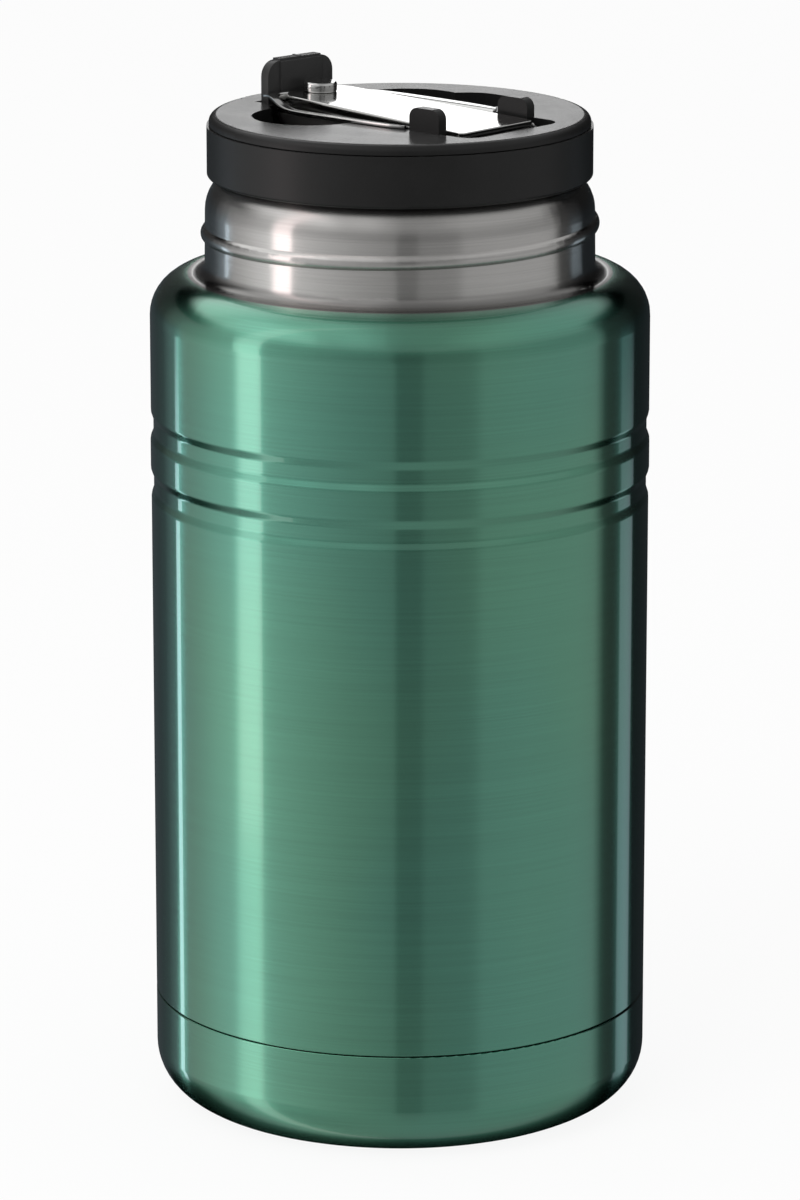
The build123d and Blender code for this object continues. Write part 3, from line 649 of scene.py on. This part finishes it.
# turned-up corner of the tip, drawn out to a small wing
for beyond, lift in CORNER_LIFTS:
    pick(bowl, "VERT", lambda at, vert: at.x < beyond and at.y < 0 and at.z > BOWL_TOP - TINY)
    move(z=lift)
pick(bowl, "VERT", lambda at, vert: at.x < WING_FROM and at.y < -WING_HALF and at.z > BOWL_TOP)
move(x=-WING_OUT, y=-WING_OUT, z=-WING_DOWN)
pressed = [
    ("SUBSURF", {"levels": 3, "render_levels": 3}),
    ("SOLIDIFY", {"thickness": BOWL_SHEET, "offset": 0.0}),
    soft_edges(BOWL_EDGE_R, 2, 50),
]
place_piece(bowl, "bowl", (0, 0, SPOON_TURN), along_spoon(0.0), pressed, polished_bowl())
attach(bowl, "spoon")
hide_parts("spoon_bowl")

# ---------------------------------------------------------------- floor
# A white paper sweep on a table, just under the foot. The camera sees it nearly white, with the
# object's shadow on it, and the glossy surfaces don't mirror it.

FLOOR_SIZE, FLOOR_DROP = 12.0, 0.0001
PAPER = (0.86, 0.86, 0.86, 1.0)
WHITE = (1.0, 1.0, 1.0, 1.0)
PAPER_GLOW = 0.9  # share of plain white in what the camera sees

bpy.ops.mesh.primitive_plane_add(size=FLOOR_SIZE, location=(0, 0, -FLOOR_DROP))
floor = bpy.context.object
floor.name = "floor"
floor.visible_glossy = False
paper = Finish(bpy.data.materials.new("floor_paper"))
camera_ray = paper.node("ShaderNodeLightPath", output="Is Camera Ray")
matt = paper.node("ShaderNodeBsdfDiffuse", None, {"Color": PAPER})
white = paper.node("ShaderNodeEmission", None, {"Color": WHITE, "Strength": 1.0})
mixed = paper.node("ShaderNodeMixShader", None, {0: camera_ray * PAPER_GLOW, 1: matt, 2: white})
paper.node("ShaderNodeOutputMaterial", None, {"Surface": mixed})
floor.data.materials.append(paper.owner)

# ---------------------------------------------------------------- studio
# A ring of soft panels and dark flags round the table, with one tall lamp at the left, soft boxes
# overhead and the table's glow below. The glossy surfaces show it, everything else gets an even
# level, and the camera sees white.

# Strength of the studio at each bearing in degrees: 0 is behind the camera, minus is left.
LEFT_PANELS = [
    (-180, 0.05), (-150, 0.06), (-140, 0.09), (-131, 0.24), (-122.5, 0.36), (-117, 0.50),
    (-106, 0.65), (-94, 0.85), (-86, 0.98), (-79, 1.2), (-67, 1.2), (-66, 0.85),
    (-58, 0.78), (-44, 0.64), (-24, 0.47), (-3, 0.34), (-1, 0.18), (0, 0.18),
]
RIGHT_PANELS = [
    (0, 0.18), (9, 0.18), (12, 0.28), (30, 0.31), (34, 0.34), (39, 0.46), (60, 0.50),
    (90, 0.50), (102, 0.47), (109, 0.10), (122, 0.06), (138, 0.02), (180, 0.02),
]
PANEL_SCALE = 2.0  # the ramps hold strengths up to this
PANELS_MEET = (-0.5, 0.5)
# Soft edges in degrees: where a thing begins and, in a pair, where it ends.
LAMP_EDGES, LAMP_FOOT, LAMP = ((-83.0, -77.0), (-67.0, -66.0)), (-17.1, -16.1), 1.15
LOW_STRIPS_TOP = (-14.0, -11.0)
THIN_STRIP_EDGES, THIN_STRIP = ((-127.2, -126.6), (-123.4, -122.8)), 2.6
WIDE_STRIP_EDGES, WIDE_STRIP = ((122.5, 124.0), (136.0, 137.5)), 0.5
TOP_FALL_OFF_EDGE, TOP_FALL_OFF = (-9.0, 2.0), 0.28
FRONT_EDGE = (95.0, 120.0)
SKY_EDGE, SKY, SKY_GAIN = (18.0, 20.0), 0.36, 0.50
TABLE_EDGE, TABLE, TABLE_LAMP = (-27.5, -21.5), 0.40, 0.8
BACKDROP_SIDE, BACKDROP_EDGES, BACKDROP = (176.3, 177.4), ((7.5, 9.0), (19.0, 24.0)), 2.0
# Soft boxes overhead: edges as parts of the direction to the left, to the right or away.
OVERHEAD_EDGE, OVERHEAD, LAMP_OVERHEAD = (26.0, 34.0), 0.42, 0.4
LEFT_BOX_EDGE, LEFT_BOX = (-0.05, 0.3), 0.38
RIGHT_BOX_EDGE, RIGHT_BOX = (0.2, 0.6), 0.16
NEAR_BOX_EDGE, NEAR_BOX_END, NEAR_BOX = (0.45, 0.65), (0.1, 0.4), 0.5
FAR_BOX_EDGE, FAR_BOX_START, FAR_BOX = (0.0, 0.25), (0.2, 0.5), 0.45
COLD_SIDE, COLD_TOP, COLD_LIGHT = (116.0, 124.0), (-4.0, 4.0), (0.84, 1.0, 1.12, 1.0)
LAMP_LIGHT = (1.12, 1.0, 1.0, 1.0)
EVEN_LEVEL = 0.8

world = Finish(bpy.data.worlds.new("studio"))
world.owner.cycles.sampling_method = "NONE"  # so that a glossy ray is always told from the rest
bpy.context.scene.world = world.owner
direction = world.node("ShaderNodeTexCoord", output="Generated")
across, depth, height = [
    world.node("ShaderNodeSeparateXYZ", None, {0: direction}, axis) for axis in "XYZ"
]
degrees = 180.0 / math.pi
bearing = across.math("ARCTAN2", across, depth * -1.0) * degrees
rise = across.math("ARCSINE", height) * degrees


def panels(stops):
    """Strength along one half of the ring of panels."""
    low, high = stops[0][0], stops[-1][0]
    ramp = [((angle - low) / (high - low), (level / PANEL_SCALE,) * 3 + (1.0,)) for angle, level in stops]
    where = (bearing - low) / (high - low)
    return world.node("ShaderNodeValToRGB", {"stops": ramp}, {0: where}) * PANEL_SCALE


def inside(value, edges):
    """1 between two soft edges, 0 outside them."""
    begin, end = edges
    return world.step(value, *begin) * (1.0 - world.step(value, *end))


right = world.step(bearing, *PANELS_MEET)
side = panels(LEFT_PANELS) * (1.0 - right) + panels(RIGHT_PANELS) * right
lamp = inside(bearing, LAMP_EDGES)
side = side + lamp * world.step(rise, *LAMP_FOOT) * LAMP
low_strips = 1.0 - world.step(rise, *LOW_STRIPS_TOP)
thin = inside(bearing, THIN_STRIP_EDGES)
wide = inside(bearing, WIDE_STRIP_EDGES)
side = side + low_strips * (thin * THIN_STRIP + wide * WIDE_STRIP)
side = side * (1.0 - world.step(rise, *TOP_FALL_OFF_EDGE) * TOP_FALL_OFF)

left_of = across * -1.0
near_box = world.step(left_of, *NEAR_BOX_EDGE) * (1.0 - world.step(depth, *NEAR_BOX_END))
far_box = world.step(left_of, *FAR_BOX_EDGE) * world.step(depth, *FAR_BOX_START)
boxes = world.step(left_of, *LEFT_BOX_EDGE) * LEFT_BOX + world.step(across, *RIGHT_BOX_EDGE) * RIGHT_BOX
boxes = boxes + OVERHEAD + near_box * NEAR_BOX + far_box * FAR_BOX + lamp * LAMP_OVERHEAD

off_axis = across.math("ABSOLUTE", bearing)
front = 1.0 - world.step(off_axis, *FRONT_EDGE)
above = world.step(rise, *SKY_EDGE)
below = 1.0 - world.step(rise, *TABLE_EDGE)
behind = world.step(off_axis, *BACKDROP_SIDE) * inside(rise, BACKDROP_EDGES)
overhead = world.step(rise, *OVERHEAD_EDGE)
sky = (side * SKY_GAIN + SKY) * front * (1.0 - overhead) + boxes * overhead
glossy = side * (1.0 - above) + above * sky
glossy = glossy * (1.0 - below) + below * (lamp * TABLE_LAMP + TABLE) * front
glossy = glossy * (1.0 - behind) + behind * BACKDROP
seen_by_camera = world.node("ShaderNodeLightPath", output="Is Camera Ray")
mirrored = world.node("ShaderNodeLightPath", output="Is Glossy Ray")
passed_through = world.node("ShaderNodeLightPath", output="Is Transmission Ray")
shown = mirrored + passed_through
strength = glossy * shown + (1.0 - shown) * EVEN_LEVEL
strength = strength * (1.0 - seen_by_camera) + seen_by_camera
cold = world.step(off_axis, *COLD_SIDE) * (1.0 - world.step(rise, *COLD_TOP)) * shown
colour = world.blend(cold, WHITE, COLD_LIGHT)
colour = world.blend(lamp * shown, colour, LAMP_LIGHT)
background = world.node("ShaderNodeBackground", None, {"Color": colour, "Strength": strength})
world.node("ShaderNodeOutputWorld", None, {"Surface": background})

# ---------------------------------------------------------------- key light and camera
# A soft box at the left, in front and above, which gives the matt surfaces their shading. The
# camera stands back with a long lens and looks a little down.

KEY_PLACE, KEY_SIZE, KEY_POWER = (-0.5, -0.7, 0.9), 0.7, 5.0
KEY_TILT, KEY_TURN = math.radians(48), math.radians(-36)
CAMERA_BACK, CAMERA_HEIGHT = 1.150, 0.3966
CAMERA_PITCH = math.radians(14.34)
CAMERA_LENS, SENSOR_HEIGHT = 175.9, 36.0  # millimetres
CAMERA_REACH = 50.0

bpy.ops.object.light_add(type="AREA", location=KEY_PLACE)
key = bpy.context.object
key.name = "key_light"
key.data.shape = "RECTANGLE"
key.data.size = KEY_SIZE
key.data.size_y = KEY_SIZE
key.data.energy = KEY_POWER
key.rotation_euler = (KEY_TILT, 0, KEY_TURN)
key.visible_glossy = False

bpy.ops.object.camera_add(location=(0, -CAMERA_BACK, CAMERA_HEIGHT))
camera = bpy.context.object
camera.rotation_euler = (math.radians(90) - CAMERA_PITCH, 0, 0)
camera.data.sensor_fit = "VERTICAL"
camera.data.sensor_height = SENSOR_HEIGHT
camera.data.lens = CAMERA_LENS
camera.data.clip_end = CAMERA_REACH
bpy.context.scene.camera = camera
bpy.context.scene.view_settings.view_transform = "Standard"
